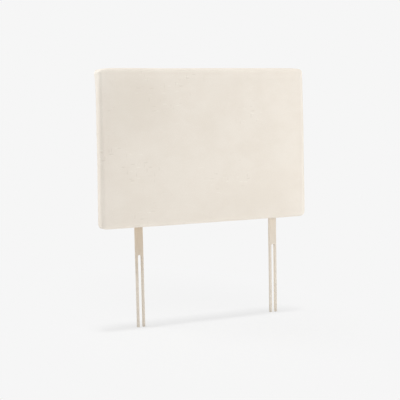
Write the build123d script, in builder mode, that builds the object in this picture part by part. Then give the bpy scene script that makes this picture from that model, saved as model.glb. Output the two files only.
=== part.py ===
from build123d import *
import os

# Padded headboard on two slotted struts, in millimetres.
# The padded face looks towards -Y, +Z is up and X runs along the width.
# The origin is on the floor, in the middle of the width and of the whole depth.

# The padded panel as a whole
panel_width = 1000.0
panel_height = 700.0
underside_height = 460.0
edge_radius = 22.0
crown_rise = 4.0

# Cover, wadding and foam
cover_thickness = 1.5
wadding_thickness = 5.0
foam_thickness = 25.0
foam_bevel_share = 0.6
soft_gap = 0.3
hem_width = 45.0
backing_thickness = 0.6
backing_overlap = 25.0

# Frame
board_thickness = 3.0
frame_depth = 27.0
rail_width = 45.0
stile_width = 45.0
centre_batten_width = 45.0
strut_batten_width = 70.0
corner_block_share = 0.8
corner_block_thickness = 18.0
dowel_diameter = 8.0
dowel_length = 40.0
dowel_play = 0.05
dowel_glue_gap = 1.0
dowel_place_share = 0.25

# Struts: the pair stands a little to the right of the middle
strut_side_distance = 165.0
strut_pair_offset = 18.0
strut_width = 36.0
strut_thickness = 15.0
strut_overlap = 310.0
strut_chamfer = 1.2
strut_top_radius = 8.0
slot_width = 16.0
slot_top_height = 330.0

# Bolts, washers and tee nuts
bolt_diameter = 8.0
bolt_tip_setback = 3.7
bolt_head_diameter = 17.0
bolt_head_height = 2.6
bolt_socket_flats = 5.0
bolt_socket_depth = 3.5
bolt_hole_diameter = 9.0
bolts_per_strut = 2
washer_diameter = 24.0
washer_thickness = 1.6
washer_hole_diameter = 8.4
nut_flange_diameter = 22.0
nut_flange_thickness = 1.5
nut_barrel_diameter = 10.0
nut_barrel_length = 9.5
nut_play = 0.05

# Cuts run this far past the face that they open
overrun = 2.0

# Layers from the front to the back
wadding_inset = cover_thickness + soft_gap
wadding_inner_inset = wadding_inset + wadding_thickness
foam_inset = wadding_inner_inset + soft_gap
foam_bevel = foam_bevel_share * (edge_radius - foam_inset)
panel_stack = foam_inset + foam_thickness + board_thickness + frame_depth
strut_stack = cover_thickness + backing_thickness + strut_thickness
total_depth = panel_stack + strut_stack + washer_thickness + bolt_head_height
front_y = -total_depth / 2
board_front_y = front_y + foam_inset + foam_thickness
frame_front_y = board_front_y + board_thickness
frame_back_y = frame_front_y + frame_depth
hem_back_y = frame_back_y + cover_thickness
strut_front_y = hem_back_y + backing_thickness
strut_back_y = strut_front_y + strut_thickness
washer_back_y = strut_back_y + washer_thickness
frame_mid_y = (frame_front_y + frame_back_y) / 2
bolt_length = washer_back_y - frame_front_y - bolt_tip_setback

# Heights and half sizes
panel_mid_z = underside_height + panel_height / 2
frame_width = panel_width - 2 * foam_inset
frame_height = panel_height - 2 * foam_inset
frame_bottom_z = underside_height + foam_inset
frame_top_z = frame_bottom_z + frame_height
stile_inner_x = frame_width / 2 - stile_width
rail_length = 2 * stile_inner_x
lap_depth = frame_depth / 2
rail_mid_z = {
    "bottom": frame_bottom_z + rail_width / 2,
    "top": frame_top_z - rail_width / 2,
}
rail_inner_z = {
    "bottom": frame_bottom_z + rail_width,
    "top": frame_top_z - rail_width,
}
half_strut_spacing = panel_width / 2 - strut_side_distance
strut_x = {
    "left": strut_pair_offset - half_strut_spacing,
    "right": strut_pair_offset + half_strut_spacing,
}
strut_length = underside_height + strut_overlap

# Bolts spread evenly between the bottom rail and the tops of the struts
bolt_pitch = (strut_length - rail_inner_z["bottom"]) / bolts_per_strut
bolt_heights = [rail_inner_z["bottom"] + (i + 0.5) * bolt_pitch for i in range(bolts_per_strut)]
bolt_places = [(x, z) for x in strut_x.values() for z in bolt_heights]

# Corner blocks fill a share of the way from a stile to the nearer strut batten
batten_reach = half_strut_spacing + abs(strut_pair_offset) + strut_batten_width / 2
corner_block_leg = corner_block_share * (stile_inner_x - batten_reach)

# Uprights: middle and width of each
uprights = {
    "centre_batten": (0, centre_batten_width),
    "left_strut_batten": (strut_x["left"], strut_batten_width),
    "right_strut_batten": (strut_x["right"], strut_batten_width),
}

# The crown is a very large upright cylinder whose front lies on the face of the cover
crown_radius = ((panel_width / 2) ** 2 + crown_rise ** 2) / (2 * crown_rise)
crown_centre_y = front_y + crown_radius

os.makedirs("parts", exist_ok=True)


def upright_plane(y):
    """Plane facing the front at depth y; its sketches use X and Z."""
    return Plane.XZ.offset(-y)


def save(part, name):
    part.label = name
    export_step(part, "parts/" + name + ".step")


def crowned_block(inset, back_y):
    """Crowned panel block, inset inside the outer face of the cover, closed flat at back_y."""
    with BuildPart() as block:
        with BuildSketch(upright_plane(back_y)):
            with Locations((0, panel_mid_z)):
                RectangleRounded(
                    panel_width - 2 * inset,
                    panel_height - 2 * inset,
                    edge_radius - inset,
                )
        extrude(amount=back_y - front_y)
        with Locations((0, crown_centre_y, panel_mid_z)):
            Cylinder(crown_radius - inset, 2 * panel_height, mode=Mode.INTERSECT)
    return block.part


def rounded_form(inset, back_y):
    """Crowned block with a rounded front edge, for the cover and the outside of the wadding."""
    with BuildPart() as form:
        add(crowned_block(inset, back_y))
        crowned_face = form.faces().sort_by(Axis.Y)[0]
        fillet(crowned_face.edges(), edge_radius - inset)
    return form.part


def bevelled_form(inset, back_y):
    """Crowned block with a bevelled front edge, for the foam and the inside of the wadding."""
    with BuildPart() as form:
        add(crowned_block(inset, back_y))
        crowned_face = form.faces().sort_by(Axis.Y)[0]
        chamfer(crowned_face.edges(), foam_bevel)
    return form.part


def bolt_holes(y, radius, depth):
    """Cut a round hole for every bolt, from depth y towards the back."""
    with BuildSketch(upright_plane(y)) as holes:
        with Locations(*bolt_places):
            Circle(radius)
    extrude(holes.sketch, amount=-depth, mode=Mode.SUBTRACT)


def dowel_bores(places, direction):
    """Blind bores for half a dowel each way; places are points on the joint face."""
    bore_length = dowel_length + 2 * dowel_glue_gap
    for place in places:
        with BuildSketch(Plane(place, z_dir=direction)) as bore:
            Circle(dowel_diameter / 2 + dowel_play)
        extrude(bore.sketch, amount=bore_length / 2, both=True, mode=Mode.SUBTRACT)


def dowels(places, direction):
    """One dowel at each place, half in each of the two joined pieces."""
    for place in places:
        with BuildSketch(Plane(place, z_dir=direction)) as section:
            Circle(dowel_diameter / 2)
        extrude(section.sketch, amount=dowel_length / 2, both=True)


def corner_joint_places(side, level):
    """Dowel places on the joint between one stile and one rail."""
    shift = dowel_place_share * rail_width
    height = rail_mid_z[level]
    return [(side * stile_inner_x, frame_mid_y, height + sign * shift) for sign in (-1, 1)]


def lap_blocks(middle, width, plane_y, mode):
    """Boxes where one upright laps both rails, from plane_y towards the back."""
    with BuildSketch(upright_plane(plane_y)) as laps:
        with Locations(*[(middle, rail_mid_z[level]) for level in rail_mid_z]):
            Rectangle(width, rail_width)
    extrude(laps.sketch, amount=-lap_depth, mode=mode)


# Cover: crowned shell over the front and sides, turned onto the back as a hem
with BuildPart() as fabric_cover:
    add(rounded_form(0, hem_back_y))
    add(rounded_form(cover_thickness, frame_back_y), mode=Mode.SUBTRACT)
    with BuildSketch(upright_plane(frame_back_y - overrun)):
        with Locations((0, panel_mid_z)):
            Rectangle(panel_width - 2 * hem_width, panel_height - 2 * hem_width)
    extrude(amount=-(cover_thickness + 2 * overrun), mode=Mode.SUBTRACT)
save(fabric_cover.part, "fabric_cover")

# Wadding: soft layer over the foam and round the sides of the frame
with BuildPart() as wadding:
    add(rounded_form(wadding_inset, frame_back_y))
    add(bevelled_form(wadding_inner_inset, frame_back_y + overrun), mode=Mode.SUBTRACT)
save(wadding.part, "wadding")

# Foam: crowned pad with bevelled edges, flat where it is glued to the facing board
with BuildPart() as foam_pad:
    add(bevelled_form(foam_inset, board_front_y))
save(foam_pad.part, "foam_pad")

# Facing board: closes the front of the frame
with BuildPart() as facing_board:
    with BuildSketch(upright_plane(frame_front_y)):
        with Locations((0, panel_mid_z)):
            RectangleRounded(frame_width, frame_height, edge_radius - foam_inset)
    extrude(amount=board_thickness)
save(facing_board.part, "facing_board")

# Stiles: full height, with the outer corners rounded to the cover
for side, name in ((-1, "left_stile"), (1, "right_stile")):
    with BuildPart() as stile:
        with BuildSketch(upright_plane(frame_back_y)):
            with Locations((0, panel_mid_z)):
                RectangleRounded(frame_width, frame_height, edge_radius - foam_inset)
            with Locations((side * (stile_inner_x + stile_width / 2), panel_mid_z)):
                Rectangle(stile_width, frame_height, mode=Mode.INTERSECT)
        extrude(amount=frame_depth)
        for level in rail_mid_z:
            dowel_bores(corner_joint_places(side, level), (1, 0, 0))
    save(stile.part, name)

# Rails: between the stiles, notched at the back for the uprights
for level in rail_mid_z:
    with BuildPart() as rail:
        with BuildSketch(upright_plane(frame_back_y)):
            with Locations((0, rail_mid_z[level])):
                Rectangle(rail_length, rail_width)
        extrude(amount=frame_depth)
        for side in (-1, 1):
            dowel_bores(corner_joint_places(side, level), (1, 0, 0))
        for middle, width in uprights.values():
            lap_blocks(middle, width, frame_mid_y, Mode.SUBTRACT)
    save(rail.part, level + "_rail")

# Uprights: halved over the rails; the strut battens are bored for the bolts and tee nuts
for name, (middle, width) in uprights.items():
    with BuildPart() as upright:
        with BuildSketch(upright_plane(frame_back_y)):
            with Locations((middle, panel_mid_z)):
                Rectangle(width, frame_height)
        extrude(amount=frame_depth)
        lap_blocks(middle, width, frame_front_y, Mode.SUBTRACT)
        bolt_holes(frame_front_y, bolt_hole_diameter / 2, frame_depth)
        bolt_holes(
            frame_front_y,
            nut_barrel_diameter / 2 + nut_play,
            nut_flange_thickness + nut_barrel_length,
        )
        bolt_holes(frame_front_y, nut_flange_diameter / 2 + nut_play, nut_flange_thickness)
    save(upright.part, name)

# Dowels: two in each corner joint of the frame
with BuildPart() as frame_dowels:
    for side in (-1, 1):
        for level in rail_mid_z:
            dowels(corner_joint_places(side, level), (1, 0, 0))
save(frame_dowels.part, "frame_dowels")

# Corner blocks: glued into the inner corners, against the facing board
with BuildPart() as corner_blocks:
    with BuildSketch(upright_plane(frame_front_y)):
        for side in (-1, 1):
            for level, inwards in (("bottom", 1), ("top", -1)):
                corner = (side * stile_inner_x, rail_inner_z[level])
                along_rail = (corner[0] - side * corner_block_leg, corner[1])
                along_stile = (corner[0], corner[1] + inwards * corner_block_leg)
                with BuildLine():
                    Polyline(corner, along_rail, along_stile, close=True)
                make_face()
    extrude(amount=-corner_block_thickness)
save(corner_blocks.part, "corner_blocks")

# Backing cloth: flat on the hem, across the open back
with BuildPart() as backing_cloth:
    with BuildSketch(upright_plane(strut_front_y)):
        with Locations((0, panel_mid_z)):
            Rectangle(
                panel_width - 2 * (hem_width - backing_overlap),
                panel_height - 2 * (hem_width - backing_overlap),
            )
    extrude(amount=backing_thickness)
    bolt_holes(hem_back_y - overrun, bolt_hole_diameter / 2, backing_thickness + 2 * overrun)
save(backing_cloth.part, "backing_cloth")

# Struts: flat bars with an open slot that ends in a half round, eased all round
for name, middle in strut_x.items():
    with BuildPart() as strut:
        with BuildSketch(upright_plane(strut_back_y)) as outline:
            with Locations((middle, 0)):
                Rectangle(strut_width, strut_length, align=(Align.CENTER, Align.MIN))
            fillet(outline.vertices().group_by(Axis.Y)[-1], strut_top_radius)
            with Locations((middle, slot_top_height - slot_width / 2)):
                Circle(slot_width / 2, mode=Mode.SUBTRACT)
                Rectangle(
                    slot_width,
                    slot_top_height,
                    align=(Align.CENTER, Align.MAX),
                    mode=Mode.SUBTRACT,
                )
        extrude(amount=strut_thickness)
        flat_faces = strut.faces().filter_by(Axis.Y)
        chamfer([edge for face in flat_faces for edge in face.outer_wire().edges()], strut_chamfer)
        bolt_holes(strut_front_y - overrun, bolt_hole_diameter / 2, strut_thickness + 2 * overrun)
    save(strut.part, name + "_strut")

# Bolts: flat heads with a hexagon socket, towards the back
with BuildPart() as strut_bolts:
    with BuildSketch(upright_plane(washer_back_y)):
        with Locations(*bolt_places):
            Circle(bolt_diameter / 2)
    extrude(amount=bolt_length)
    with BuildSketch(upright_plane(washer_back_y)):
        with Locations(*bolt_places):
            Circle(bolt_head_diameter / 2)
    extrude(amount=-bolt_head_height)
    with BuildSketch(upright_plane(washer_back_y + bolt_head_height)):
        with Locations(*bolt_places):
            RegularPolygon(bolt_socket_flats / 2, 6, major_radius=False)
    extrude(amount=bolt_socket_depth, mode=Mode.SUBTRACT)
save(strut_bolts.part, "strut_bolts")

# Washers: between the bolt heads and the struts
with BuildPart() as strut_washers:
    with BuildSketch(upright_plane(washer_back_y)):
        with Locations(*bolt_places):
            Circle(washer_diameter / 2)
            Circle(washer_hole_diameter / 2, mode=Mode.SUBTRACT)
    extrude(amount=washer_thickness)
save(strut_washers.part, "strut_washers")

# Tee nuts: let into the front of the strut battens, behind the facing board
with BuildPart() as tee_nuts:
    with BuildSketch(upright_plane(frame_front_y)):
        with Locations(*bolt_places):
            Circle(nut_flange_diameter / 2)
    extrude(amount=-nut_flange_thickness)
    with BuildSketch(upright_plane(frame_front_y)):
        with Locations(*bolt_places):
            Circle(nut_barrel_diameter / 2)
    extrude(amount=-(nut_flange_thickness + nut_barrel_length))
    bolt_holes(
        frame_front_y - overrun,
        bolt_diameter / 2 + nut_play,
        nut_flange_thickness + nut_barrel_length + 2 * overrun,
    )
save(tee_nuts.part, "tee_nuts")
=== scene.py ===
import math
import random

import bmesh
import bpy
import numpy as np
from mathutils import Matrix, Vector, noise


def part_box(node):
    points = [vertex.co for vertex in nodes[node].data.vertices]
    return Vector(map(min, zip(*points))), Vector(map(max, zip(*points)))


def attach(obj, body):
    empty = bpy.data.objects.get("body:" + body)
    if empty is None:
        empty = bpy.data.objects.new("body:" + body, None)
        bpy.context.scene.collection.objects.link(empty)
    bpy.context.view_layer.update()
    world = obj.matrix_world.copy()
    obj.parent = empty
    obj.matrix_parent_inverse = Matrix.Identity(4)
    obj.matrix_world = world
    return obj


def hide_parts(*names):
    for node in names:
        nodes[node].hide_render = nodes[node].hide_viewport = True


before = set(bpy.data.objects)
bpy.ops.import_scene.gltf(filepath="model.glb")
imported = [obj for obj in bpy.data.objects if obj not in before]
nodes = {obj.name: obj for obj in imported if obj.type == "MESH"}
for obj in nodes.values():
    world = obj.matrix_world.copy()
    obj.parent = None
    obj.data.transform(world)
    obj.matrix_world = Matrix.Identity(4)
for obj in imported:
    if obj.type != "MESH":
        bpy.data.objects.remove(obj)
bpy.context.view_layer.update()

# Sizes in metres, as in the CAD source
EDGE = 0.022
CROWN = 0.004
HEM = 0.045
COVER_THICKNESS = 0.0015
WADDING_THICKNESS = 0.005
SOFT_GAP = 0.0003
BOLT_HOLE = 0.0045
SLOT_HALF = 0.008
SLOT_TOP = 0.33

# Sizes in metres that only the scene has
BACK_EDGE = 0.003  # radius of the turn onto the back
SWELLING = 0.003  # how far the padding stands out in the middle of the face
SWELL_LIMIT = 0.0034  # how far the simulation may move the cover
SLIDE_LIMIT = 0.001  # how far it may move it sideways
ROLL = 0.0045  # how far the padding rolls off at the rim of the face
ROLL_START, ROLL_END = -0.02, 0.055
PLEAT = 0.0022  # height of the pleat at a corner
PLEAT_PLACE = 0.56  # its place, as a share of the corner's turn
STAPLE_PITCH = 0.042
STAPLE_INSET = 0.006
STAPLE_WIDTH, STAPLE_WIRE = 0.0011, 0.0006

STRUTS = ("left_strut", "right_strut")
RAILS = ("bottom_rail", "top_rail")
UPRIGHTS = ("left_stile", "right_stile", "centre_batten", "left_strut_batten", "right_strut_batten")
FIXINGS = ("strut_bolts", "strut_washers", "tee_nuts")

# Camera, fitted to the photograph: degrees, metres and a focal length in pixels
CAMERA_YAW, CAMERA_PITCH, CAMERA_ROLL = 22.168, -5.577, -1.160
CAMERA_PLACE = (-1.5375, -3.7045, 0.9546)
FOCAL_PIXELS, PICTURE_PIXELS, SENSOR = 879.9, 400, 36

# Light
PAPER = 0.9216
PAPER_SHADE = 0.77
ROOM_STRENGTH = 0.53
FLOOR_SIZE = 24.0
LAMP_SIZE = 2.0


def add_camera():
    """Camera at the photograph's viewing angle."""
    yaw, pitch, roll = (math.radians(a) for a in (CAMERA_YAW, CAMERA_PITCH, CAMERA_ROLL))
    reach = math.cos(pitch)
    ahead = Vector((math.sin(yaw) * reach, math.cos(yaw) * reach, math.sin(pitch)))
    level = Vector((math.cos(yaw), -math.sin(yaw), 0))
    upright = level.cross(ahead)
    right = level * math.cos(roll) + upright * math.sin(roll)
    up = upright * math.cos(roll) - level * math.sin(roll)
    data = bpy.data.cameras.new("camera")
    data.sensor_width = SENSOR
    data.lens = FOCAL_PIXELS / PICTURE_PIXELS * SENSOR
    data.clip_end = 60
    camera = bpy.data.objects.new("camera", data)
    turn = Matrix((right, up, -ahead)).transposed()
    camera.matrix_world = Matrix.Translation(CAMERA_PLACE) @ turn.to_4x4()
    bpy.context.collection.objects.link(camera)
    bpy.context.scene.camera = camera


# Materials
class Graph:
    """A material's node tree, built by short calls."""

    def __init__(self, name):
        self.material = bpy.data.materials.new(name)
        self.material.use_nodes = True
        self.tree = self.material.node_tree
        self.shader = self.tree.nodes["Principled BSDF"]

    def node(self, kind, **given):
        made = self.tree.nodes.new(kind)
        for key, value in given.items():
            setattr(made, key, value)
        return made

    def feed(self, socket, value):
        if isinstance(value, bpy.types.NodeSocket):
            self.tree.links.new(value, socket)
        elif value is not None:
            socket.default_value = value

    def place(self, scale=(1, 1, 1), turn=(0, 0, 0), move=(0, 0, 0)):
        """Position in the object, stretched, turned and moved."""
        coordinates = self.node("ShaderNodeTexCoord")
        mapping = self.node("ShaderNodeMapping")
        self.feed(mapping.inputs["Vector"], coordinates.outputs["Object"])
        mapping.inputs["Scale"].default_value = scale
        mapping.inputs["Rotation"].default_value = turn
        mapping.inputs["Location"].default_value = move
        return mapping.outputs["Vector"]

    def noise(self, vector, scale, detail=2.0, rough=0.5, distortion=0.0):
        made = self.node("ShaderNodeTexNoise")
        self.feed(made.inputs["Vector"], vector)
        made.inputs["Scale"].default_value = scale
        made.inputs["Detail"].default_value = detail
        made.inputs["Roughness"].default_value = rough
        made.inputs["Distortion"].default_value = distortion
        return made.outputs["Fac"]

    def cells(self, vector, scale, randomness=1.0):
        """Distance to the nearest of scattered points."""
        made = self.node("ShaderNodeTexVoronoi")
        self.feed(made.inputs["Vector"], vector)
        made.inputs["Scale"].default_value = scale
        made.inputs["Randomness"].default_value = randomness
        return made.outputs["Distance"]

    def bands(self, vector, scale, distortion, detail, direction, profile="SIN", coarse=1.0):
        made = self.node("ShaderNodeTexWave", wave_profile=profile, bands_direction=direction)
        self.feed(made.inputs["Vector"], vector)
        made.inputs["Scale"].default_value = scale
        made.inputs["Distortion"].default_value = distortion
        made.inputs["Detail"].default_value = detail
        made.inputs["Detail Scale"].default_value = coarse
        return made.outputs["Fac"]

    def span(self, value, low, high, to_low=0.0, to_high=1.0):
        """Value eased from to_low at low to to_high at high."""
        made = self.node("ShaderNodeMapRange", interpolation_type="SMOOTHSTEP")
        self.feed(made.inputs["Value"], value)
        made.inputs["From Min"].default_value = low
        made.inputs["From Max"].default_value = high
        made.inputs["To Min"].default_value = to_low
        made.inputs["To Max"].default_value = to_high
        return made.outputs["Result"]

    def length(self, vector):
        made = self.node("ShaderNodeVectorMath", operation="LENGTH")
        self.feed(made.inputs[0], vector)
        return made.outputs["Value"]

    def near(self, place, reach, fade):
        """1 within reach of a place, falling to 0 at fade."""
        distance = self.length(self.place(move=tuple(-v for v in place)))
        return self.span(distance, reach, fade, 1.0, 0.0)

    def math(self, how, a, b=None):
        made = self.node("ShaderNodeMath", operation=how)
        self.feed(made.inputs[0], a)
        self.feed(made.inputs[1], b)
        return made.outputs[0]

    def times(self, a, b):
        return self.math("MULTIPLY", a, b)

    def blend(self, a, share_a, b, share_b):
        """Sum of two values, each taken by its share."""
        return self.math("ADD", self.times(a, share_a), self.times(b, share_b))

    def mix(self, share, a, b):
        """Colour a, replaced by b as far as share says."""
        made = self.node("ShaderNodeMix", data_type="RGBA")
        self.feed(made.inputs["Factor"], share)
        self.feed(made.inputs["A"], a)
        self.feed(made.inputs["B"], b)
        return made.outputs["Result"]

    def bump(self, height, distance, strength, below=None):
        made = self.node("ShaderNodeBump")
        made.inputs["Strength"].default_value = strength
        made.inputs["Distance"].default_value = distance
        self.feed(made.inputs["Height"], height)
        self.feed(made.inputs["Normal"], below)
        return made.outputs["Normal"]

    def finish(self, **given):
        """Feeds the shader's inputs, which are named in small letters with underscores."""
        inputs = {i.name.lower().replace(" ", "_"): i for i in self.shader.inputs}
        for key, value in given.items():
            self.feed(inputs[key], value)
        return self.material


def rgb(*levels):
    """Colour from three sRGB levels of 0 to 255."""
    shares = [level / 255 for level in levels]
    linear = [s / 12.92 if s <= 0.04045 else ((s + 0.055) / 1.055) ** 2.4 for s in shares]
    return (*linear, 1.0)


def plush_material():
    """Cream brushed plush: nap laid in soft patches, short pile, a few disturbed specks."""
    g = Graph("plush")
    drift = g.noise(g.place((1.0, 1.0, 0.8), (0, 0.5, 0)), 5.0, 3.0, 0.5, 0.3)
    brushed = g.noise(g.place((1.0, 1.0, 1.5), (0, 0.9, 0)), 15.0, 3.0, 0.55, 0.4)
    nap = g.blend(drift, 0.66, brushed, 0.34)
    colour = g.mix(g.span(nap, 0.34, 0.66), rgb(235, 227, 216), rgb(239, 232, 222))
    # Short strokes where the nap was touched, most of them in two places on the left
    upper = g.near((-0.18, -0.04, 1.04), 0.02, 0.24)
    lower = g.near((-0.39, -0.04, 0.80), 0.02, 0.28)
    handled = g.times(g.math("MAXIMUM", upper, lower), 0.15)
    patches = g.noise(g.place((1.0, 1.0, 1.0), (0.3, 0, 0)), 5.5, 3.0, 0.6)
    gate = g.span(g.math("ADD", patches, handled), 0.54, 0.64)
    pale, dark = rgb(247, 242, 232), rgb(204, 195, 180)
    strokes = [
        (g.place((0.75, 1.0, 2.8), (0, 0.2, 0)), 24.0, 0.22, 0.55, pale),
        (g.place((0.7, 1.0, 3.0), (0, -0.16, 0), (0.4, 0, 0.2)), 20.0, 0.20, 0.30, dark),
        (g.place((3.0, 1.0, 0.7), (0, 0.16, 0), (0.1, 0, 0.7)), 20.0, 0.17, 0.26, dark),
    ]
    for place, scale, width, strength, tone in strokes:
        stroke = g.span(g.cells(place, scale), width / 2, width, strength, 0.0)
        colour = g.mix(g.times(stroke, gate), colour, tone)
    # Painted shade: a darker patch towards the upper left of the face
    toned = g.near((-0.33, -0.04, 1.0), 0.05, 0.22)
    colour = g.mix(g.times(toned, 0.3), colour, rgb(226, 218, 206))
    # At the top left corner the cloth stands out; there the colour is paler, a painted highlight
    corner_highlight = g.near((-0.512, 0.035, 1.12), 0.02, 0.115)
    colour = g.mix(g.times(corner_highlight, 0.6), colour, rgb(247, 243, 235))
    pile = g.noise(g.place(), 1400.0, 3.0, 0.7)
    tuft = g.noise(g.place((1.0, 1.0, 0.55)), 420.0, 2.0, 0.6)
    grain = g.span(g.blend(pile, 0.6, tuft, 0.4), 0.3, 0.7)
    colour = g.mix(g.times(grain, 0.28), colour, rgb(214, 204, 188))
    return g.finish(
        base_color=colour,
        roughness=0.92,
        specular_ior_level=0.25,
        sheen_weight=0.35,
        sheen_roughness=0.45,
        sheen_tint=rgb(255, 250, 240),
        normal=g.bump(g.blend(pile, 0.5, tuft, 0.5), 0.0008, 0.5, g.bump(nap, 0.003, 0.12)),
    )


def knit_back_material():
    """Reverse of the plush: a plain knitted ground."""
    g = Graph("plush_reverse")
    rows, columns = (g.bands(g.place(), 300.0, 1.0, 1.0, direction) for direction in "ZX")
    loops = g.times(rows, columns)
    colour = g.mix(loops, rgb(214, 206, 192), rgb(232, 226, 214))
    return g.finish(base_color=colour, roughness=0.9, normal=g.bump(loops, 0.0004, 0.6))


def wood_material(name, pale, grain, knots, ring_scale, gloss, shift, slot=None):
    """Softwood sawn along Z: growth rings, fibre and worn edges.

    slot is given for a strut: x of its middle, how far the wood pales towards the floor (painted
    shade, which keeps its top under the panel darker), and how much painted highlight lies on the
    walls of its slot.
    """
    g = Graph(name)
    rings = g.bands(g.place((1.0, 1.0, 0.045), shift), ring_scale, 22.0, 2.0, "X", "SAW", 0.3)
    fibre = g.noise(g.place((1.0, 1.0, 0.012), shift), 900.0, 3.0, 0.65)
    broad = g.noise(g.place((1.0, 1.0, 0.12), shift), 26.0, 3.0, 0.5, 0.6)
    late = g.math("POWER", rings, 2.6)
    colour = g.mix(g.times(late, 0.75), pale, grain)
    colour = g.mix(g.times(g.span(broad, 0.3, 0.72), 0.4), colour, grain)
    colour = g.mix(g.times(g.span(fibre, 0.52, 0.72), 0.35), colour, knots)
    if slot is not None:
        middle, shade_grade, slot_highlight = slot
        # Painted shade: paler and greyer towards the floor, so that the top under the panel stays
        # darker
        split = g.node("ShaderNodeSeparateXYZ")
        g.feed(split.inputs[0], g.place())
        shade_gradient = g.span(split.outputs["Z"], 0.15, 0.45, shade_grade, 0.0)
        colour = g.mix(shade_gradient, colour, rgb(232, 228, 221))
    dirt = g.noise(g.place(), 11.0, 4.0, 0.6)
    colour = g.mix(g.times(g.span(dirt, 0.5, 0.8), 0.12), colour, rgb(150, 138, 118))
    # Edges rubbed paler by wear
    rub = g.node("ShaderNodeBevel", samples=4)
    rub.inputs["Radius"].default_value = 0.0016
    dot = g.node("ShaderNodeVectorMath", operation="DOT_PRODUCT")
    g.feed(dot.inputs[0], rub.outputs["Normal"])
    g.feed(dot.inputs[1], g.node("ShaderNodeNewGeometry").outputs["Normal"])
    toned = g.span(dot.outputs["Value"], 0.80, 0.995, 0.55, 0.0)
    colour = g.mix(toned, colour, rgb(238, 229, 211))
    # Painted highlight: the walls of the slot are paler, most on the right strut
    if slot is not None:
        aside = g.math("ABSOLUTE", g.math("SUBTRACT", split.outputs["X"], middle))
        beside = g.span(aside, SLOT_HALF + 0.0002, SLOT_HALF + 0.0007, 1.0, 0.0)
        below = g.span(split.outputs["Z"], SLOT_TOP - 0.03, SLOT_TOP + 0.01, 1.0, 0.0)
        colour = g.mix(g.times(g.times(beside, below), slot_highlight), colour, rgb(248, 239, 224))
    return g.finish(
        base_color=colour,
        roughness=g.span(fibre, 0.3, 0.7, gloss, gloss + 0.16),
        specular_ior_level=0.4,
        normal=g.bump(g.blend(fibre, 0.6, late, 0.4), 0.0004, 0.6),
    )


def steel_material():
    """Bright zinc plate: faint brushed marks, cloudy patches."""
    g = Graph("zinc_steel")
    cloud = g.noise(g.place(), 160.0, 3.0, 0.6)
    scratch = g.noise(g.place((1.0, 1.0, 0.08), (0.4, 0.7, 0)), 2600.0, 2.0, 0.6)
    return g.finish(
        base_color=g.mix(g.span(cloud, 0.35, 0.65), rgb(188, 190, 192), rgb(216, 216, 212)),
        metallic=1.0,
        roughness=g.span(g.math("ADD", cloud, g.times(scratch, 0.5)), 0.5, 1.0, 0.26, 0.48),
        normal=g.bump(scratch, 0.0001, 0.35),
    )


def hardboard_material():
    """Pressed wood fibre board."""
    g = Graph("hardboard")
    fibres = g.noise(g.place((1.0, 1.0, 1.6)), 520.0, 4.0, 0.7, 1.2)
    clumps = g.noise(g.place(), 38.0, 3.0, 0.6)
    colour = g.mix(g.span(fibres, 0.35, 0.66), rgb(92, 64, 44), rgb(146, 108, 76))
    colour = g.mix(g.times(g.span(clumps, 0.4, 0.7), 0.35), colour, rgb(80, 56, 40))
    return g.finish(
        base_color=colour,
        roughness=g.span(fibres, 0.3, 0.7, 0.5, 0.7),
        normal=g.bump(fibres, 0.0003, 0.5),
    )


def foam_material():
    """Open-cell foam, slightly yellowed."""
    g = Graph("foam")
    pores = g.cells(g.place(), 620.0)
    tone = g.noise(g.place(), 9.0, 3.0)
    colour = g.mix(g.span(tone, 0.35, 0.65), rgb(226, 214, 172), rgb(238, 230, 198))
    colour = g.mix(g.span(pores, 0.12, 0.42, 0.5, 0.0), colour, rgb(176, 160, 118))
    return g.finish(
        base_color=colour,
        roughness=0.95,
        specular_ior_level=0.1,
        normal=g.bump(pores, 0.0012, 0.8),
    )


def wadding_material():
    """White polyester wadding: tangled fibres with a soft lustre."""
    g = Graph("wadding")
    tangle = g.noise(g.place((1.0, 1.0, 0.5), (0.2, 0.6, 0.3)), 330.0, 5.0, 0.75, 2.4)
    tufts = g.noise(g.place(), 34.0, 3.0, 0.6, 0.6)
    return g.finish(
        base_color=g.mix(g.span(tangle, 0.35, 0.65), rgb(222, 222, 220), rgb(248, 248, 246)),
        roughness=0.85,
        sheen_weight=0.4,
        sheen_roughness=0.5,
        normal=g.bump(tangle, 0.0009, 0.7, g.bump(tufts, 0.003, 0.4)),
    )


def backing_material():
    """Charcoal spun-bonded cloth with a diamond grid of bonding dots."""
    g = Graph("backing_cloth")
    dots = g.cells(g.place((1.0, 1.0, 1.0), (0, 0.7854, 0)), 420.0, randomness=0.0)
    pressed = g.span(dots, 0.16, 0.30, 1.0, 0.0)
    fibres = g.noise(g.place((1.0, 1.0, 0.3), (0, 0.5, 0)), 1500.0, 4.0, 0.75, 1.5)
    density = g.noise(g.place(), 55.0, 4.0, 0.65)
    colour = g.mix(g.span(fibres, 0.32, 0.7), rgb(44, 44, 47), rgb(74, 74, 77))
    colour = g.mix(g.times(g.span(density, 0.42, 0.72), 0.5), colour, rgb(92, 92, 94))
    colour = g.mix(g.times(pressed, 0.6), colour, rgb(34, 34, 37))
    height = g.math("SUBTRACT", g.times(fibres, 0.4), pressed)
    return g.finish(
        base_color=colour,
        roughness=g.span(pressed, 0.0, 1.0, 0.88, 0.5),
        specular_ior_level=0.3,
        normal=g.bump(height, 0.0004, 0.8),
    )


def dress(node, material):
    """Gives a CAD node its finish."""
    data = nodes[node].data
    data.materials.clear()
    data.materials.append(material)


# Numbers along lines and surfaces
def ramp(value, low, high):
    """Eased step from 0 at low to 1 at high."""
    t = np.clip((value - low) / (high - low), 0, 1)
    return t * t * (3 - 2 * t)


def outside(value, low, high):
    """How far a value lies outside a range."""
    return np.maximum(np.maximum(low - value, value - high), 0)


def rim_distance(x, z, low, high):
    """How far a place lies inside the outline of a box, seen from the front."""
    return np.minimum.reduce([x - low.x, high.x - x, z - low.z, high.z - z])


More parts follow.
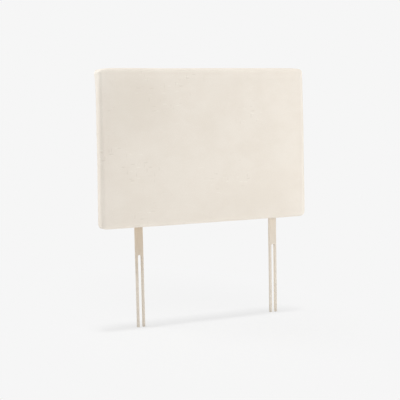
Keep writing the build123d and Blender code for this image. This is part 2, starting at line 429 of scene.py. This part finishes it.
def spaced(length, fine, coarse, reach=0.12):
    """Stations from 0 to length: fine steps near both ends, growing to coarse in the middle."""
    steps, at = [], 0.0
    while at < length / 2:
        steps.append(at)
        at += fine + (coarse - fine) * min(1.0, at / reach)
    half = np.array(steps) * (length / 2 / at)
    return np.concatenate([half, [length / 2], length - half[::-1]])


def solid_noise(points, size, seed):
    """Smooth value from about -1 to 1 at each point; size is the length of its waves."""
    move = Vector((seed * 3.7, seed * 1.3, seed * 5.1))
    return np.array([noise.noise(Vector(p) / size + move) for p in points])


def unevenness(points):
    """How far the padding lifts or drops its surface at each point."""
    return solid_noise(points, 0.16, 1) * 0.0009 + solid_noise(points, 0.05, 2) * 0.0003


def front_share(inside):
    """Share of the swelling at a distance inside the panel's outline."""
    return ramp(inside, 0.015, 0.15)


# Forms of the soft parts
class Wrap:
    """Grid of points over a crowned panel that goes on round its edges as rings.

    The front is a grid inside the edge radius. Each ring of the profile runs once round the panel,
    and a corner is a fan of rays. dome is the share of the swelling that is drawn.
    """

    def __init__(self, low, high, radius, profile, fine=0.003, coarse=0.009, fan=28, dome=1.0):
        self.low, self.high, self.radius, self.profile, self.dome = low, high, radius, profile, dome
        self.middle, self.half = (low + high) / 2, (high - low) / 2
        self.xs = low.x + radius + spaced(high.x - low.x - 2 * radius, fine, coarse)
        self.zs = low.z + radius + spaced(high.z - low.z - 2 * radius, fine, coarse)
        sides = [
            ([(x, self.zs[0]) for x in self.xs], (0, -1)),
            ([(self.xs[-1], z) for z in self.zs], (1, 0)),
            ([(x, self.zs[-1]) for x in self.xs[::-1]], (0, 1)),
            ([(self.xs[0], z) for z in self.zs[::-1]], (-1, 0)),
        ]
        # Each entry of the rim: place on the grid, outward direction, share of the corner's turn
        rim = []
        for line, out in sides:
            rim += [(*place, *out, 0.0) for place in line]
            start = math.atan2(out[1], out[0])
            for k in range(1, fan):
                turn = start + math.pi / 2 * k / fan
                rim.append((*line[-1], math.cos(turn), math.sin(turn), k / fan))
        self.rim = np.array(rim)

    def front_y(self, x, z):
        """Depth of the padded face."""
        u, v = (x - self.middle.x) / self.half.x, (z - self.middle.z) / self.half.z
        beside, above = self.half.x * (1 - np.abs(u)), self.half.z * (1 - np.abs(v))
        risen = self.dome * front_share(np.minimum(beside, above))
        crowned = CROWN * (np.abs(u) ** 3 + 0.7 * np.abs(v) ** 3)
        # The padding rolls off softly before the edge, less on the right
        rolled = (1 - ramp(beside, ROLL_START, ROLL_END)) * (1 - 0.9 * ramp(u, -0.2, 0.8))
        flat = (1 - rolled) * ramp(above, ROLL_START, ROLL_END)
        return self.low.y + SWELLING * (1 - risen) + crowned + ROLL * (1 - flat)

    def build(self, shape):
        """Points and faces. shape(points, normals, facts) gives the points their last places.

        The facts of a point: length run since the front, share of the corner's turn (-1 on the
        front), distance outside the grid, outward direction in x and z, share that faces sideways.
        """
        nx, nz, rim = len(self.xs), len(self.zs), len(self.rim)
        gx, gz = (a.ravel() for a in np.meshgrid(self.xs, self.zs, indexing="ij"))
        points = [np.stack([gx, self.front_y(gx, gz), gz], 1)]
        normals = [np.tile((0.0, -1.0, 0.0), (len(gx), 1))]
        facts = [np.tile((0.0, -1.0, 0.0, 0.0, 0.0, 0.0), (len(gx), 1))]
        depth = self.high.y - self.low.y
        qx, qz, ox, oz, ray = self.rim.T
        drop = self.front_y(qx, qz) - self.low.y
        for off, y, lean, run in self.profile:
            px, pz = qx + ox * off, qz + oz * off
            if off < 0:
                px = self.middle.x + (qx - self.middle.x) * (1 + off / (self.half.x - self.radius))
                pz = self.middle.z + (qz - self.middle.z) * (1 + off / (self.half.z - self.radius))
            points.append(np.stack([px, self.low.y + y + drop * (1 - y / depth), pz], 1))
            flat = math.cos(lean)
            side = 1.0 if lean > 0 else flat
            normals.append(np.stack(np.broadcast_arrays(ox * flat, math.sin(lean), oz * flat), 1))
            facts.append(np.stack(np.broadcast_arrays(run, ray, off, ox, oz, side), 1))
        points, normals, facts = (np.concatenate(a) for a in (points, normals, facts))
        faces = []
        for i in range(nx - 1):
            for j in range(nz - 1):
                a, b = i * nz + j, (i + 1) * nz + j
                faces.append((a, b, b + 1, a + 1))
        ix = {round(x, 9): i for i, x in enumerate(self.xs)}
        iz = {round(z, 9): j for j, z in enumerate(self.zs)}
        inner = [ix[round(a, 9)] * nz + iz[round(b, 9)] for a, b in zip(qx, qz)]
        first = nx * nz
        for k in range(rim):
            n = (k + 1) % rim
            quad = (inner[k], first + k, first + n, inner[n])
            faces.append(quad if inner[k] != inner[n] else quad[:3])
        for a in range(first, first + (len(self.profile) - 1) * rim, rim):
            for k in range(rim):
                n = (k + 1) % rim
                faces.append((a + k, a + rim + k, a + rim + n, a + n))
        return shape(points, normals, facts), faces


def edge_profile(radius, depth, back_edge=0.0, hem=0.0, arc=10, side=0.004):
    """Rings from the start of the rounded edge to the end of the hem.

    Each is its offset, its depth, the lean of its normal and the length run so far.
    """
    quarter = math.pi / 2
    turn_steps, under_steps, hem_steps = 4, 9, 5
    rings = []
    for k in range(1, arc + 1):
        a = quarter * k / arc
        rings.append((radius * math.sin(a), radius * (1 - math.cos(a)), a - quarter, radius * a))
    run = radius * quarter
    straight = depth - radius - back_edge
    count = max(1, round(straight / side))
    for k in range(1, count + 1):
        rings.append((radius, radius + straight * k / count, 0.0, run + straight * k / count))
    run += straight
    if not hem:
        return rings
    for k in range(1, turn_steps + 1):
        b = quarter * k / turn_steps
        off = radius - back_edge * (1 - math.cos(b))
        rings.append((off, depth - back_edge * (1 - math.sin(b)), b, run + back_edge * b))
    run += back_edge * quarter
    for k in range(1, under_steps + 1):
        inward = (radius - back_edge) * k / under_steps
        rings.append((radius - back_edge - inward, depth, quarter, run + inward))
    run += radius - back_edge
    for k in range(1, hem_steps + 1):
        inward = (hem - radius) * k / hem_steps
        rings.append((-inward, depth, quarter, run + inward))
    return rings


def slack(points, facts, low, high):
    """Points moved where the soft sides leave their drawn line, and how far each one went out.

    The top corners are packed rounder, and the sides stand a little fuller towards the bottom.
    """
    off, ox, oz, side = facts.T[2:]
    x, _, z = points.T
    up = (z - low.z) / (high.z - low.z)
    fuller = 0.0045 * ramp(0.55 - up, 0.0, 0.5) - 0.0025 * ramp(up, 0.55, 0.95)
    from_corner = np.maximum(0, high.x - np.abs(x)) + np.maximum(0, high.z - z)
    out = ox**2 * fuller - 0.0042 * np.exp(-0.5 * (from_corner / 0.026) ** 2)
    out = np.maximum(out, -0.0038) * side * ramp(off, 0.0, 0.015)
    return points + np.stack([ox, np.zeros(len(ox)), oz], 1) * out[:, None], out


def mesh_piece(name, points, faces, materials, join=True):
    """Object of that mesh, with its doubles joined."""
    data = bpy.data.meshes.new(name)
    data.from_pydata([tuple(p) for p in points], [], faces)
    made = bmesh.new()
    made.from_mesh(data)
    if join:
        bmesh.ops.remove_doubles(made, verts=made.verts, dist=2e-6)
        bmesh.ops.dissolve_degenerate(made, edges=made.edges, dist=1e-6)
    bmesh.ops.recalc_face_normals(made, faces=made.faces)
    for face in made.faces:
        face.smooth = True
    made.to_mesh(data)
    made.free()
    for material in materials:
        data.materials.append(material)
    piece = bpy.data.objects.new(name, data)
    bpy.context.collection.objects.link(piece)
    return piece


def turn_outwards(piece):
    """Makes an open skin's faces look away from the panel's middle."""
    data = piece.data
    middle = max(data.polygons, key=lambda f: -f.center.y - abs(f.center.x))
    if middle.normal.y > 0:
        data.flip_normals()


def thicken(piece, thickness, inner_material=0):
    solidify = piece.modifiers.new("thickness", "SOLIDIFY")
    solidify.thickness = thickness
    solidify.offset = -1
    solidify.material_offset = inner_material
    solidify.use_even_offset = False


def swell(piece, held, share, pressure, most, frames=16):
    """Cloth simulation: the skin swells from inside, held where held(point) is true.

    Each point moves at most most, and share(points) says how much of that it keeps, so that the
    edges stay smooth.
    """
    group = piece.vertex_groups.new(name="held")
    rest = np.array([v.co[:] for v in piece.data.vertices])
    group.add([i for i, p in enumerate(rest) if held(p)], 1.0, "REPLACE")
    modifier = piece.modifiers.new("cloth", "CLOTH")
    cloth = modifier.settings
    cloth.vertex_group_mass = "held"
    cloth.quality = 5
    cloth.mass = 0.3
    cloth.tension_stiffness = cloth.compression_stiffness = 30
    cloth.shear_stiffness = 12
    cloth.bending_stiffness = 1.5
    cloth.use_pressure = True
    cloth.uniform_pressure_force = pressure
    cloth.effector_weights.gravity = 0
    modifier.collision_settings.use_collision = False
    modifier.point_cache.frame_start = 1
    modifier.point_cache.frame_end = frames
    scene = bpy.context.scene
    for number in range(1, frames + 1):
        scene.frame_set(number)
    evaluated = piece.evaluated_get(bpy.context.evaluated_depsgraph_get())
    moved = np.array([v.co[:] for v in evaluated.data.vertices]) - rest
    piece.modifiers.remove(modifier)
    piece.vertex_groups.remove(group)
    scene.frame_set(1)
    outward = np.array([v.normal[:] for v in piece.data.vertices])
    swollen = np.sum(moved * outward, axis=1, keepdims=True)
    along = moved - swollen * outward
    slid = np.linalg.norm(along, axis=1, keepdims=True)
    moved = outward * most * np.tanh(np.maximum(swollen, 0) / most)
    moved += along * np.minimum(1, SLIDE_LIMIT / np.maximum(slid, 1e-9))
    moved *= share(rest)[:, None]
    piece.data.vertices.foreach_set("co", (rest + moved).astype(np.float32).ravel())
    piece.data.update()


def fabric_cover(plush, reverse):
    """Plush skin over the pad, folded at the corners and turned onto the back."""
    low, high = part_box("fabric_cover")
    depth = high.y - low.y
    profile = edge_profile(EDGE, depth, BACK_EDGE, HEM)
    wrap = Wrap(low, high, EDGE, profile, dome=0.0)
    side_start = EDGE * math.pi / 2
    side_end = side_start + depth - EDGE - BACK_EDGE

    def shape(points, normals, facts):
        run, ray, off = facts.T[:3]
        rest, _ = slack(points, facts, low, high)
        x, _, z = rest.T
        lift = unevenness(rest) * (1 - ramp(run, side_start, side_end))
        # Puckers between the staples of the hem, fading towards the front
        along = np.where(np.abs(normals[:, 0]) > np.abs(normals[:, 2]), z, x)
        wander = solid_noise(rest * (1, 0, 1), 0.09, 3)
        pucker = np.cos(2 * np.pi * (along / STAPLE_PITCH + 0.35 * wander))
        pull = ramp(run, side_start, side_end) * ramp(off, 0.002, 0.014)
        lift += 0.00045 * pucker * pull * (ray == 0)
        # Corners: one folded pleat each, small gathers beside it
        past = ray - PLEAT_PLACE
        before, behind = ramp(ray, PLEAT_PLACE - 0.42, PLEAT_PLACE), np.exp(-past / 0.035)
        ridge = np.where(past < 0, before, behind)
        groove = -0.5 * np.exp(-(((past - 0.05) / 0.03) ** 2))
        waves = np.sin(2 * np.pi * (ray * 5.5 + 0.2))
        gathers = 0.32 * waves * ramp(np.sin(np.pi * ray), 0, 0.8)
        rise = ramp(run, side_start * 0.9, side_end) * ramp(off, 0.003, 0.013)
        lift += np.where(ray > 0, PLEAT * (ridge + groove + 0.5 * gathers) * rise, 0)
        # The hem lies on the frame, so there it only lifts
        lift = np.maximum(lift, -0.003 * (1 - ramp(normals[:, 1], 0.0, 0.7)))
        points = rest + normals * lift[:, None]
        # Spare cloth standing out at the corners, most at the top left
        spare = ((-1, 1, 0.0095, 0.11), (-1, -1, 0.002, 0.07), (1, -1, 0.002, 0.07))
        back = ramp(run, side_start * 0.8, side_end - 0.004) * ramp(off, 0.001, 0.018)
        for sx, sz, most, fall in spare:
            away = np.maximum(0, sz * (wrap.middle.z + sz * wrap.half.z - z))
            strength = np.clip(1 - away / fall, 0, 1) ** 1.6 * ramp(away, -0.012, 0.03)
            facing = ramp(sx * normals[:, 0], 0.15, 0.75)
            points[:, 0] += sx * most * strength * facing * back * (ray >= 0)
        return points

    def share(points):
        x, y, z = points.T
        on_face = ramp(-y, -low.y - 0.02, -low.y - 0.012)
        return front_share(rim_distance(x, z, low, high)) * on_face

    def held(point):
        return point[1] > high.y - 0.012

    points, faces = wrap.build(shape)
    piece = mesh_piece("cover_skin", points, faces, [plush, reverse])
    turn_outwards(piece)
    swell(piece, held, share, pressure=4.0, most=SWELL_LIMIT)
    thicken(piece, COVER_THICKNESS, 1)
    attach(piece, "root")
    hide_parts("fabric_cover")


def wadding_layer(material):
    """Soft layer under the cover: over the foam and down the sides of the frame."""
    low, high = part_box("wadding")
    radius = EDGE - COVER_THICKNESS - SOFT_GAP
    profile = edge_profile(radius, high.y - low.y, side=0.006, arc=8)
    wrap = Wrap(low, high, radius, profile, 0.006, 0.02, 10, dome=0.75)
    side_start, end = radius * math.pi / 2, profile[-1][3]
    plain, least, most = WADDING_THICKNESS - 0.0006, 0.0006, 0.0095
    layer = []

    def shape(points, normals, facts):
        run = facts[:, 0]
        rest, out = slack(points, facts, low, high)
        dents = np.abs(solid_noise(points, 0.03, 5)) * 0.0008 * (1 - ramp(run, end - 0.02, end))
        # Its end is rounded off inside the turn of the cover
        eased = 0.0009 * ramp(run, end - 0.005, end)
        lift = unevenness(rest) * (1 - ramp(run, side_start, end)) - dents - eased
        layer.extend(np.maximum(plain + out + lift, least))
        return rest + normals * lift[:, None]

    points, faces = wrap.build(shape)
    piece = mesh_piece("wadding_layer", points, faces, [material], join=False)
    turn_outwards(piece)
    group = piece.vertex_groups.new(name="thickness")
    for index, thickness in enumerate(layer):
        group.add([index], float(thickness) / most, "REPLACE")
    thicken(piece, most)
    piece.modifiers["thickness"].vertex_group = "thickness"
    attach(piece, "root")
    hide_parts("wadding")


def foam_block(material):
    """Foam pad with softened front edges, flat on the facing board."""
    low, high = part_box("foam_pad")
    radius = EDGE - COVER_THICKNESS - WADDING_THICKNESS - 2 * SOFT_GAP
    profile = edge_profile(radius, high.y - low.y, side=0.006, arc=8)
    wrap = Wrap(low, high, radius, profile, 0.006, 0.02, 8, dome=0.75)

    def shape(points, normals, facts):
        dents = -np.abs(solid_noise(points, 0.07, 6)) * 0.0007
        return points + normals * (dents * (facts[:, 0] < profile[-1][3] - 1e-6))[:, None]

    points, faces = wrap.build(shape)
    faces.append(tuple(range(len(points) - len(wrap.rim), len(points))))
    piece = mesh_piece("foam_block", points, faces, [material])
    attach(piece, "root")
    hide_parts("foam_pad")


def bolt_axes():
    """Middles of the strut bolts, as (x, z), read from the washers."""
    groups = []
    for v in nodes["strut_washers"].data.vertices:
        place = (v.co.x, v.co.z)
        for group in groups:
            if math.dist(place, group[0]) < 0.04:
                group.append(place)
                break
        else:
            groups.append([place])
    return [tuple((min(line) + max(line)) / 2 for line in zip(*group)) for group in groups]


def backing_sheet(material):
    """Thin cloth over the open back, drawn in a little between the members of the frame."""
    low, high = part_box("backing_cloth")
    bolts = bolt_axes()
    struts = [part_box(n) for n in STRUTS]

    def stations(start, end, marks):
        """Stations 8 mm apart, with three at each mark for the bolt's hole."""
        marks = {round(m, 6) for m in marks}
        line = set(np.round(np.linspace(start, end, int((end - start) / 0.008) + 1), 6))
        line = {v for v in line if all(abs(v - m) > BOLT_HOLE + 0.002 for m in marks)}
        holes = {round(m + d, 6) for m in marks for d in (-BOLT_HOLE, 0.0, BOLT_HOLE)}
        return np.array(sorted(line | holes))

    xs = stations(low.x, high.x, [b[0] for b in bolts])
    zs = stations(low.z, high.z, [b[1] for b in bolts])
    gx, gz = (a.ravel() for a in np.meshgrid(xs, zs, indexing="ij"))
    flat = np.stack([gx, np.zeros(len(gx)), gz], 1)
    inward = rim_distance(gx, gz, low, high)
    sag = ramp(inward, 0.027, 0.12) * 0.0032
    gaps = [outside(gx, a.x, b.x) for a, b in (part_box(n) for n in UPRIGHTS)]
    gaps += [outside(gz, a.z, b.z) for a, b in (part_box(n) for n in RAILS)]
    for gap in gaps:
        sag = np.minimum(sag, 0.0007 + 0.0028 * ramp(gap, 0, 0.09))
    clear = np.ones(len(gx))
    for a, b in struts:
        beside = outside(gx, a.x, b.x)
        sag = sag * ramp(np.hypot(beside, np.maximum(gz - b.z, 0)), 0.002, 0.03)
        clear *= ramp(beside, 0.002, 0.02)
    creases = np.abs(solid_noise(flat * (1, 1, 0.4), 0.035, 8)) * ramp(inward, 0.012, 0.05)
    sag += 0.0006 * creases * (sag > 0.0003)
    pucker = 1 - np.abs(np.sin(np.pi * (gx + gz) / STAPLE_PITCH))
    pucker *= ramp(inward, 0.001, 0.006) * (1 - ramp(inward, 0.012, 0.05))
    points = np.stack([gx, high.y - sag + 0.0003 * pucker * clear, gz], 1)
    nz = len(zs)
    faces = []
    for i in range(len(xs) - 1):
        for j in range(nz - 1):
            cx, cz = (xs[i] + xs[i + 1]) / 2, (zs[j] + zs[j + 1]) / 2
            if any(abs(cx - bx) < BOLT_HOLE and abs(cz - bz) < BOLT_HOLE for bx, bz in bolts):
                continue
            a, b = i * nz + j, (i + 1) * nz + j
            faces.append((a, b, b + 1, a + 1))
    piece = mesh_piece("backing_sheet", points, faces, [material])
    if piece.data.polygons[0].normal.y < 0:
        piece.data.flip_normals()
    thicken(piece, high.y - low.y)
    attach(piece, "root")
    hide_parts("backing_cloth")


def staple(place, turn):
    """Points and faces of one flat wire staple: crown, two rounded shoulders, short legs."""
    leg = [(-0.0052, -0.0016), (-0.0052, -0.0006), (-0.0048, -0.0001), (-0.0042, 0.0002)]
    line = [*leg, (0.0, 0.00032), *((-a, b) for a, b in leg[::-1])]
    points, faces = [], []
    for n, (a, b) in enumerate(line):
        p, q = line[max(n - 1, 0)], line[min(n + 1, len(line) - 1)]
        size = math.hypot(q[0] - p[0], q[1] - p[1])
        ta, tb = (q[0] - p[0]) / size, (q[1] - p[1]) / size
        for side, out in ((-1, -1), (1, -1), (1, 1), (-1, 1)):
            along = a - tb * out * STAPLE_WIRE / 2
            up = b + ta * out * STAPLE_WIRE / 2
            across = side * STAPLE_WIDTH / 2
            dx = along * math.cos(turn) - across * math.sin(turn)
            dz = along * math.sin(turn) + across * math.cos(turn)
            points.append((place[0] + dx, place[1] + up, place[2] + dz))
    for n in range(len(line) - 1):
        for k in range(4):
            a, b = n * 4 + k, n * 4 + (k + 1) % 4
            faces.append((a, b, b + 4, a + 4))
    last = (len(line) - 1) * 4
    faces += [(3, 2, 1, 0), (last, last + 1, last + 2, last + 3)]
    return points, faces


def backing_staples(material):
    """Staples round the edge of the backing cloth, a little uneven as from a hand gun."""
    low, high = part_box("backing_cloth")
    struts = [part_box(n) for n in STRUTS]
    rng = random.Random(11)
    points, faces = [], []
    sides = [
        (low.x, high.x, low.z + STAPLE_INSET, True),
        (low.x, high.x, high.z - STAPLE_INSET, True),
        (low.z, high.z, low.x + STAPLE_INSET, False),
        (low.z, high.z, high.x - STAPLE_INSET, False),
    ]
    for start, end, fixed, level in sides:
        count = round((end - start) / STAPLE_PITCH)
        for k in range(count):
            along = start + (end - start) * (k + 0.5) / count + rng.uniform(-0.004, 0.004)
            across = fixed + rng.uniform(-0.0012, 0.0012)
            x, z = (along, across) if level else (across, along)
            # No staple where a strut crosses the lower edge
            if level and z < 0.6 and any(a.x - 0.008 < x < b.x + 0.008 for a, b in struts):
                continue
            turn = (0 if level else math.pi / 2) + rng.uniform(-0.14, 0.14)
            new_points, new_faces = staple((x, high.y + 0.0001, z), turn)
            faces += [tuple(i + len(points) for i in f) for f in new_faces]
            points += new_points
    piece = mesh_piece("backing_staples", points, faces, [material], join=False)
    bevel = piece.modifiers.new("eased", "BEVEL")
    bevel.width = 0.00015
    bevel.segments = 2
    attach(piece, "root")


# Room and light
def paper_floor():
    """Pale floor; near the object it takes some of the real light, so that shadows show."""
    data = bpy.data.meshes.new("floor")
    corners = [(-1, -1), (1, -1), (1, 1), (-1, 1)]
    data.from_pydata([(x * FLOOR_SIZE, y * FLOOR_SIZE, 0) for x, y in corners], [], [(0, 1, 2, 3)])
    floor = bpy.data.objects.new("floor", data)
    bpy.context.collection.objects.link(floor)
    g = Graph("paper_floor")
    g.tree.nodes.remove(g.shader)
    diffuse = g.node("ShaderNodeBsdfDiffuse")
    diffuse.inputs["Color"].default_value = (PAPER_SHADE, PAPER_SHADE, PAPER_SHADE, 1)
    glow = g.node("ShaderNodeEmission")
    glow.inputs["Color"].default_value = (PAPER, PAPER, PAPER, 1)
    rays = g.node("ShaderNodeLightPath").outputs
    seen = g.math("ADD", rays["Is Camera Ray"], rays["Is Glossy Ray"])
    seen = g.math("MINIMUM", g.math("ADD", seen, rays["Is Transmission Ray"]), 1.0)
    away = g.length(g.place((2.0, 1.0, 1.0), move=(0.14, 0, 0)))
    mixed = g.node("ShaderNodeMixShader")
    g.feed(mixed.inputs["Fac"], g.times(seen, g.span(away, 0.6, 1.6, 0.68, 1.0)))
    g.feed(mixed.inputs[1], diffuse.outputs["BSDF"])
    g.feed(mixed.inputs[2], glow.outputs["Emission"])
    g.feed(g.tree.nodes["Material Output"].inputs["Surface"], mixed.outputs["Shader"])
    data.materials.append(g.material)


def room_light():
    """Even white light from all round; the room itself looks like the paper."""
    world = bpy.data.worlds.new("room")
    bpy.context.scene.world = world
    world.use_nodes = True
    tree = world.node_tree
    background = tree.nodes["Background"]
    path = tree.nodes.new("ShaderNodeLightPath")
    add = tree.nodes.new("ShaderNodeMath")
    add.operation = "ADD"
    tree.links.new(path.outputs["Is Camera Ray"], add.inputs[0])
    tree.links.new(path.outputs["Is Transmission Ray"], add.inputs[1])
    strength = tree.nodes.new("ShaderNodeMapRange")
    strength.inputs["To Min"].default_value = ROOM_STRENGTH
    strength.inputs["To Max"].default_value = PAPER
    tree.links.new(add.outputs[0], strength.inputs["Value"])
    tree.links.new(strength.outputs["Result"], background.inputs["Strength"])
    background.inputs["Color"].default_value = (1, 1, 1, 1)


def lamp(name, place, aim, power):
    """Square lamp that looks at aim."""
    data = bpy.data.lights.new(name, "AREA")
    data.shape = "RECTANGLE"
    data.size = data.size_y = LAMP_SIZE
    data.energy = power
    made = bpy.data.objects.new(name, data)
    made.location = place
    made.rotation_mode = "QUATERNION"
    made.rotation_quaternion = (Vector(aim) - Vector(place)).to_track_quat("-Z", "Y")
    bpy.context.collection.objects.link(made)


def sun(name, lean, angle, power):
    """Lamp straight above, leaning towards the front by lean degrees."""
    data = bpy.data.lights.new(name, "SUN")
    data.angle = math.radians(angle)
    data.energy = power
    made = bpy.data.objects.new(name, data)
    made.rotation_euler = (math.radians(lean), 0, 0)
    bpy.context.collection.objects.link(made)


add_camera()
plush = plush_material()
steel = steel_material()
pine = wood_material(
    "pine",
    pale=rgb(226, 204, 164),
    grain=rgb(196, 162, 112),
    knots=rgb(160, 122, 80),
    ring_scale=95.0,
    gloss=0.5,
    shift=(0.1, 0.2, 0.0),
)
# The left strut's wood is darker and warmer than the right one's: partly a tone of its own, partly
# painted shade
left_wood = wood_material(
    "left_strut_wood",
    pale=rgb(215, 201, 182),
    grain=rgb(197, 179, 156),
    knots=rgb(173, 150, 125),
    ring_scale=120.0,
    gloss=0.46,
    shift=(0.3, 0.1, 0.0),
    slot=(-0.317, 0.45, 0.3),
)
right_wood = wood_material(
    "right_strut_wood",
    pale=rgb(229, 220, 207),
    grain=rgb(213, 199, 180),
    knots=rgb(186, 167, 144),
    ring_scale=120.0,
    gloss=0.46,
    shift=(0.3, 0.1, 0.0),
    slot=(0.353, 0.2, 0.85),
)
dowel_wood = wood_material(
    "dowel_wood",
    pale=rgb(222, 190, 152),
    grain=rgb(196, 156, 116),
    knots=rgb(160, 118, 84),
    ring_scale=160.0,
    gloss=0.5,
    shift=(0.0, 1.57, 0.0),
)
fabric_cover(plush, knit_back_material())
wadding_layer(wadding_material())
foam_block(foam_material())
backing_sheet(backing_material())
backing_staples(steel)
dress("facing_board", hardboard_material())
for name in (*UPRIGHTS, *RAILS, "corner_blocks"):
    dress(name, pine)
dress("frame_dowels", dowel_wood)
dress("left_strut", left_wood)
dress("right_strut", right_wood)
for name in FIXINGS:
    dress(name, steel)
paper_floor()
room_light()
lamp("key", (2.155, -2.758, 0.95), (0, 0, 0.85), 42.5)
lamp("side", (-2.891, 1.168, 2.65), (0, 0, 0.85), 49)
lamp("fill", (-2.5, -2.6, 0.9), (0, 0, 0.75), 3)
sun("overhead", lean=4.0, angle=7.0, power=1.27)

settings = bpy.context.scene.view_settings
settings.view_transform = "Standard"
